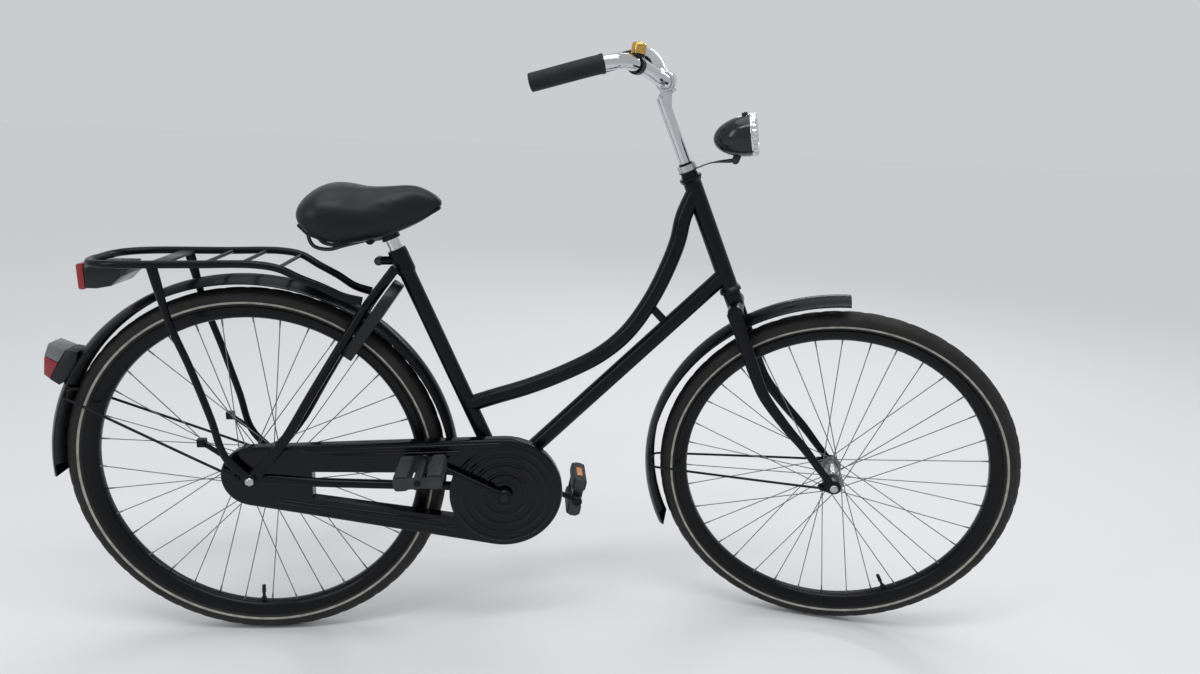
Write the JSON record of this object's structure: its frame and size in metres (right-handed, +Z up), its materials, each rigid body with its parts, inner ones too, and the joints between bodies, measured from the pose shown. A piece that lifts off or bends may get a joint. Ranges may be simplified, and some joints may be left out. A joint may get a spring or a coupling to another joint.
{
  "type": "city bicycle",
  "caption": "Step-through city bicycle with a swan-neck frame, chain case, rear carrier, ring lock, headlamp and swept-back handlebar.",
  "frame": {"origin": "middle of the underside of the bicycle's box, on the ground", "axes": "+X forward, +Y to the rider's left, +Z up; the frame's middle plane is parallel to X and Z"},
  "size_m": [1.8736, 0.4168, 1.1844],
  "materials": {
    "black_paint": "satin black paint",
    "gloss_black": "gloss black pressed steel",
    "dark_steel": "dull dark steel",
    "steel": "plain steel",
    "chrome": "polished chrome",
    "tyre": "black tyre with a pale stripe",
    "rubber": "black rubber",
    "black_plastic": "black plastic",
    "smoky_plastic": "smoky grey plastic",
    "red_lens": "red lens",
    "clear_lens": "clear lens",
    "brass": "polished brass",
    "vinyl": "smooth black vinyl"
  },
  "bodies": {
    "frame": {"rear_axle": "steel", "brake_arm": "dark_steel", "main_frame": "black_paint", "seat_clamp_bolt": "steel", "chain_stay_right": "black_paint", "chain_stay_left": "black_paint", "seat_stay_right": "black_paint", "seat_stay_left": "black_paint", "chain": "dark_steel", "chain_case_outer": "gloss_black", "chain_case_rear_cap": "gloss_black", "chain_case_inner": "gloss_black", "rear_fender": "black_paint", "rear_fender_stay": "black_paint", "carrier_frame": "black_paint", "carrier_leg_right": "black_paint", "carrier_leg_left": "black_paint", "tail_lamp_body": "smoky_plastic", "tail_lamp_lens": "red_lens", "fender_lamp_body": "black_plastic", "fender_lamp_clear": "clear_lens", "fender_lamp_red": "red_lens", "ring_lock": "black_plastic"},
    "rear_wheel": {"rear_hub_and_spokes": "dark_steel", "rear_rim": "dark_steel", "rear_tyre": "tyre"},
    "driver": {"rear_sprocket": "steel"},
    "front_wheel": {"front_hub_and_spokes": "steel", "front_rim": "dark_steel", "front_tyre": "tyre"},
    "crank": {"crank_axle": "steel", "chainring": "steel", "crank_arm_right": "black_paint", "crank_arm_left": "black_paint"},
    "pedal_right": {"pedal_right_frame": "dark_steel", "pedal_right_block_front": "rubber", "pedal_right_block_rear": "rubber"},
    "pedal_left": {"pedal_left_frame": "dark_steel", "pedal_left_block_front": "rubber", "pedal_left_block_rear": "rubber"},
    "seat": {"seatpost": "chrome", "saddle_clamp": "black_paint", "saddle_rails": "dark_steel", "saddle_base": "black_plastic", "saddle_cushion": "vinyl"},
    "headlamp": {"headlamp_shell": "black_plastic", "headlamp_rim": "chrome", "headlamp_lens": "clear_lens"},
    "steering": {"fork": "black_paint", "front_axle": "steel", "front_fender": "black_paint", "front_fender_stay": "black_paint", "headset_locknut": "steel", "lamp_bracket": "dark_steel", "handlebar": "chrome", "stem": "chrome", "grip_right": "rubber", "grip_left": "rubber", "bell_base": "black_plastic", "bell_dome": "brass"}
  },
  "joints": [
    {"name": "rear_wheel_spin", "type": "hinge", "parent": "frame", "child": "rear_wheel", "pos_m": [-0.55403, -0.03657, 0.3575], "axis": [0, 1, 0], "continuous": true},
    {"name": "driver_spin", "type": "hinge", "parent": "frame", "child": "driver", "pos_m": [-0.55403, -0.03657, 0.3575], "axis": [0, 1, 0], "continuous": true},
    {"name": "crank_spin", "type": "hinge", "parent": "frame", "child": "crank", "pos_m": [-0.07903, -0.03657, 0.326], "axis": [0, 1, 0], "continuous": true},
    {"name": "pedal_right_spin", "type": "hinge", "parent": "crank", "child": "pedal_right", "pos_m": [-0.2305, -0.03657, 0.40318], "axis": [0, 1, 0], "continuous": true},
    {"name": "pedal_left_spin", "type": "hinge", "parent": "crank", "child": "pedal_left", "pos_m": [0.07244, -0.03657, 0.24882], "axis": [0, 1, 0], "continuous": true},
    {"name": "steer", "type": "hinge", "parent": "frame", "child": "steering", "pos_m": [0.53212, -0.03657, 0.32881], "axis": [-0.4099, 0, 0.9121], "range_deg": [-40, 75]},
    {"name": "front_wheel_spin", "type": "hinge", "parent": "steering", "child": "front_wheel", "pos_m": [0.59308, -0.05739, 0.3562], "axis": [0.2712, 0.9548, 0.1219], "continuous": true},
    {"name": "headlamp_tilt", "type": "hinge", "parent": "steering", "child": "headlamp", "pos_m": [0.33099, -0.06274, 0.9813], "axis": [0.2712, 0.9548, 0.1219], "range_deg": [-10, 25]},
    {"name": "seat_height", "type": "slide", "parent": "frame", "child": "seat", "axis": [-0.4051, 0, 0.9143], "range_m": [0, 0.07]}
  ],
  "couplings": [
    {"joint": "driver_spin", "follows": "crank_spin", "ratio": 2.2}
  ]
}
